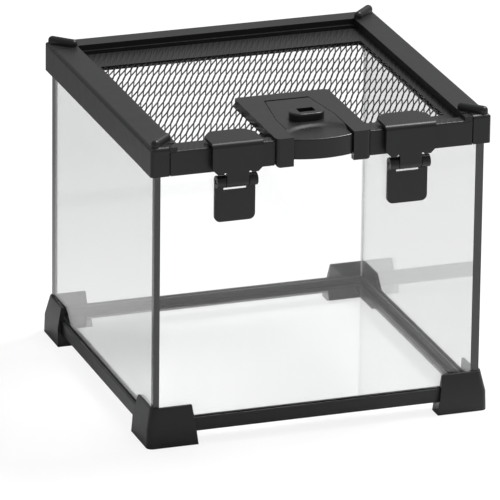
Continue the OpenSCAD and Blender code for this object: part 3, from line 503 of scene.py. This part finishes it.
def strand_tubes(plan, inside, width, top, depth):
    """Points and quads of the strands: at each step an oblong section stands square to the strand's way,
    half the width to each side of its middle, from top (step) down by the depth. A strand has walls between
    two steps that are both inside, and a cap at each end of such a stretch."""
    along = np.gradient(plan, axis=1)
    along /= np.linalg.norm(along, axis=2, keepdims=True)
    across = np.stack([-along[..., 1], along[..., 0]], -1) * width / 2
    left, right = plan + across, plan - across
    high = np.broadcast_to(top[None, :, None], (*plan.shape[:2], 1))
    low = high - depth
    ring = np.stack([np.concatenate([left, high], -1), np.concatenate([right, high], -1),
                     np.concatenate([right, low], -1), np.concatenate([left, low], -1)], 2)
    number = np.arange(ring.shape[0] * ring.shape[1] * 4).reshape(ring.shape[:3])
    both = inside[:, 1:] & inside[:, :-1]
    here, there = number[:, :-1][both], number[:, 1:][both]
    around = np.roll(np.arange(4), -1)
    walls = np.stack([here, here[:, around], there[:, around], there], -1).reshape(-1, 4)
    first = both & ~np.pad(both, ((0, 0), (1, 0)))[:, :-1]
    last = both & ~np.pad(both, ((0, 0), (0, 1)))[:, 1:]
    caps = np.concatenate([number[:, :-1][first][:, ::-1], number[:, 1:][last]])
    used, packed = np.unique(np.concatenate([walls, caps]), return_inverse=True)
    return ring.reshape(-1, 3)[used], packed.reshape(-1, 4)


def bar_boxes(bars, z0, z1):
    """Points and quads of flat bars, given as rows of (x0, x1, y0, y1): each has its four corners in plan at
    z0, then the same four at z1."""
    bars = np.array(bars, dtype=float)
    corner = np.array([[0, 0], [1, 0], [1, 1], [0, 1]])
    x = np.where(corner[:, 0] == 1, bars[:, [1]], bars[:, [0]])
    y = np.where(corner[:, 1] == 1, bars[:, [3]], bars[:, [2]])
    under = np.stack([x, y, np.full_like(x, z0)], -1)
    over = np.stack([x, y, np.full_like(x, z1)], -1)
    points = np.concatenate([under, over], 1).reshape(-1, 3)
    sides = np.array([[0, 3, 2, 1], [4, 5, 6, 7], [0, 1, 5, 4], [1, 2, 6, 5], [2, 3, 7, 6], [3, 0, 4, 7]])
    quads = (sides[None] + 8 * np.arange(len(bars))[:, None, None]).reshape(-1, 4)
    return points, quads


# One operator for each group of pieces


class TERRARIUM_OT_plastic(bpy.types.Operator):
    """Moulded black plastic of the top frame, feet, rails, lid, hatch and latches"""

    bl_idname = "terrarium.plastic"
    bl_label = "Moulded plastic"

    def execute(self, context):
        look = context.scene.terrarium_plastic
        groups = ((FRAME_NODES, black_plastic("frame_plastic"), look.edge),
                  (HATCH_NODES, black_plastic("hatch_plastic", look.polish), look.edge),
                  (LATCH_NODES, black_plastic("latch_plastic"), look.edge),
                  (BASE_NODES, black_plastic("foot_plastic"), look.edge),
                  (["slide_knob"], black_plastic("knob_plastic", look.polish), look.knob_edge),
                  (["lid_frame"], black_plastic("lid_plastic", imprint=True), look.edge))
        for names, material, edge in groups:
            for name in names:
                wear(NODES[name], material)
                soften(NODES[name], edge)
        return {"FINISHED"}


class TERRARIUM_OT_panes(bpy.types.Operator):
    """Glass of the five panes"""

    bl_idname = "terrarium.panes"
    bl_label = "Panes"

    def execute(self, context):
        look = context.scene.terrarium_glass
        # The left, right and base panes take painted shade: tints darker than the clear tint of the same
        # glass
        wear(NODES["left_glass"], pane_glass("left_pane", tuple(look.left)))
        wear(NODES["right_glass"], pane_glass("right_pane", tuple(look.right)))
        wear(NODES["base_glass"], pane_glass("base_pane", tuple(look.base)))
        wear(NODES["front_glass"], pane_glass("front_pane", tuple(look.clear)))
        wear(NODES["back_glass"], pane_glass("back_pane", tuple(look.clear), ground_ends=True))
        return {"FINISHED"}


class TERRARIUM_OT_seals(bpy.types.Operator):
    """Sealant in the upright corners"""

    bl_idname = "terrarium.seals"
    bl_label = "Corner seals"

    def execute(self, context):
        look = context.scene.terrarium_seals
        # The dark seals get painted light: a faint emission that lightens them behind their panes
        dark = sealant("dark_sealant", look.dark, vary=0.12, roughness=0.5, painted_light=look.painted_light)
        pale = sealant("clear_sealant", look.pale, vary=0.06, roughness=0.4, through=look.through)
        for name in DARK_SEALS:
            wear(NODES[name], dark)
        wear(NODES["seal_back_right"], pale)
        return {"FINISHED"}


class TERRARIUM_OT_pins(bpy.types.Operator):
    """Steel of the hinge pins"""

    bl_idname = "terrarium.pins"
    bl_label = "Hinge pins"

    def execute(self, context):
        steel = pin_steel("pin_steel")
        for name in PIN_NODES:
            wear(NODES[name], steel)
        return {"FINISHED"}


class TERRARIUM_OT_mesh(bpy.types.Operator):
    """Expanded wire mesh of the lid at its real pitch, with the flat rim that the lid holds"""

    bl_idname = "terrarium.mesh"
    bl_label = "Wire mesh"

    def execute(self, context):
        x0, x1, y0, y1 = SHEET_LOW.x, SHEET_HIGH.x, SHEET_LOW.y, SHEET_HIGH.y
        hatch_x, hatch_y = HATCH_HIGH.x - HATCH_RIM, HATCH_HIGH.y - HATCH_RIM
        settings = context.scene.terrarium_mesh
        middle = np.array([x0 + x1, y0 + y1]) / 2 + np.array(settings.start)
        plan, swung = strand_plan(settings, middle)
        x, y = plan[..., 0], plan[..., 1]
        sheet = (x > x0 + RIM / 2) & (x < x1 - RIM / 2) & (y > y0 + RIM / 2) & (y < y1 - RIM / 2)
        under_hatch = (abs(x) < hatch_x) & (y < hatch_y)
        top = SHEET_HIGH.z - STRAND_BELOW - STRAND_DIP * (1 - swung)
        points, quads = strand_tubes(plan, sheet & ~under_hatch, settings.strand, top, settings.depth)
        rim_points, rim_quads = self.rims(x0, x1, y0, y1, hatch_x, hatch_y)
        quads = np.concatenate([quads, rim_quads + len(points)])
        wire = new_object("wire_mesh", np.concatenate([points, rim_points]), quads)
        wear(wire, wire_coat("wire_coat"))
        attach(wire, "lid")
        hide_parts("mesh_screen")
        return {"FINISHED"}

    def rims(self, x0, x1, y0, y1, hatch_x, hatch_y):
        """Points and quads of the flat rims round the sheet and round the hatch's opening."""
        inner_x, outer_x = hatch_x - HATCH_RIM, hatch_x + HATCH_RIM
        inner_y, outer_y = hatch_y - HATCH_RIM, hatch_y + HATCH_RIM
        bars = [(x0, x1, y1 - RIM, y1), (x0, x0 + RIM, y0, y1 - RIM), (x1 - RIM, x1, y0, y1 - RIM),
                (x0 + RIM, -hatch_x, y0, y0 + RIM), (hatch_x, x1 - RIM, y0, y0 + RIM),
                (-outer_x, -inner_x, y0 + RIM, inner_y), (inner_x, outer_x, y0 + RIM, inner_y),
                (-outer_x, outer_x, inner_y, outer_y)]
        return bar_boxes(bars, SHEET_LOW.z, SHEET_HIGH.z)


class TERRARIUM_OT_stage(bpy.types.Operator):
    """White floor, soft lamp, sky and camera"""

    bl_idname = "terrarium.stage"
    bl_label = "Stage"

    def execute(self, context):
        scene = context.scene
        look = scene.terrarium_stage
        self.lay_floor(look)
        self.hang_lamp(scene, look)
        self.set_sky(scene, look)
        self.place_camera(scene, look)
        scene.view_settings.view_transform = "Standard"
        return {"FINISHED"}

    def lay_floor(self, look):
        """White floor: what is seen of it is mostly plain white, and what it throws back on the object
        follows its tone, which falls off behind the object."""
        bar = (-FLOOR_REACH, FLOOR_REACH, -FLOOR_REACH, FLOOR_REACH)
        floor = new_object("floor", *bar_boxes([bar], -FLOOR_THICKNESS, 0))
        r = Recipe(bpy.data.materials.new("white_floor"))
        behind = r.math("MULTIPLY", r.split(r.place())["Y"], 1 / look.floor_fade, clamp=True)
        plain = r.put("ShaderNodeBsdfDiffuse")
        r.join(r.tones(behind, [look.floor_near] * 3, [look.floor_far] * 3), plain.inputs["Color"])
        white = r.put("ShaderNodeEmission")
        r.join(r.spread(behind, look.white_near, look.white_far), white.inputs["Strength"])
        wear(floor, r.finish(r.layer(r.math("MULTIPLY", r.seen(), look.floor_white), plain, white)))

    def hang_lamp(self, scene, look):
        light = bpy.data.lights.new("top_lamp", "AREA")
        light.shape = "SQUARE"
        light.size = look.lamp_size
        light.energy = look.lamp_power
        lamp = bpy.data.objects.new("top_lamp", light)
        scene.collection.objects.link(lamp)
        lamp.location = look.lamp_place
        lamp.rotation_euler = (LAMP_AIM - Vector(look.lamp_place)).to_track_quat("-Z", "Y").to_euler()

    def set_sky(self, scene, look):
        """Even light from all sides, which is plain white where it is seen."""
        r = Recipe(bpy.data.worlds.new("sky"), "ShaderNodeOutputWorld")
        back = r.put("ShaderNodeBackground")
        r.fix(back, {"Color": (1, 1, 1, 1)})
        r.join(r.spread(r.seen(), look.sky, 1.0), back.inputs["Strength"])
        scene.world = r.finish(back)

    def place_camera(self, scene, look):
        """Camera that looks at its aim along the direction of azimuth and elevation, and is then rolled."""
        a, e, turn = look.azimuth, look.elevation, look.roll
        ahead = Vector((-math.sin(a) * math.cos(e), math.cos(a) * math.cos(e), -math.sin(e)))
        right = ahead.cross(Vector((0, 0, 1))).normalized()
        down = ahead.cross(right)
        right, down = (math.cos(turn) * right + math.sin(turn) * down,
                       math.cos(turn) * down - math.sin(turn) * right)
        lens = bpy.data.cameras.new("camera")
        lens.sensor_width = SENSOR_WIDTH
        lens.lens = look.lens
        lens.clip_start, lens.clip_end = CLIP_RANGE
        camera = bpy.data.objects.new("camera", lens)
        scene.collection.objects.link(camera)
        axes = Matrix((right, -down, -ahead)).transposed().to_4x4()
        camera.matrix_world = Matrix.Translation(Vector(look.aim) - ahead * look.distance) @ axes
        scene.camera = camera


class TERRARIUM_PT_panel(bpy.types.Panel):
    """Buttons for each step of the dressing"""

    bl_label = "Terrarium"
    bl_idname = "TERRARIUM_PT_panel"
    bl_space_type = "VIEW_3D"
    bl_region_type = "UI"
    bl_category = "Terrarium"

    def draw(self, context):
        for step in STEPS:
            self.layout.operator(step.bl_idname)


SETTINGS = {"terrarium_plastic": PlasticSettings, "terrarium_glass": GlassSettings,
            "terrarium_seals": SealSettings, "terrarium_metal": MetalSettings,
            "terrarium_mesh": MeshSettings, "terrarium_stage": StageSettings}
STEPS = (TERRARIUM_OT_plastic, TERRARIUM_OT_panes, TERRARIUM_OT_seals, TERRARIUM_OT_pins,
         TERRARIUM_OT_mesh, TERRARIUM_OT_stage)
CLASSES = (*SETTINGS.values(), *STEPS, TERRARIUM_PT_panel)


def register():
    for cls in CLASSES:
        bpy.utils.register_class(cls)
    for name, cls in SETTINGS.items():
        setattr(bpy.types.Scene, name, PointerProperty(type=cls))


def unregister():
    for name in SETTINGS:
        delattr(bpy.types.Scene, name)
    for cls in reversed(CLASSES):
        bpy.utils.unregister_class(cls)


def main():
    register()
    for step in STEPS:
        group, action = step.bl_idname.split(".")
        getattr(getattr(bpy.ops, group), action)()


if __name__ == "__main__":
    main()
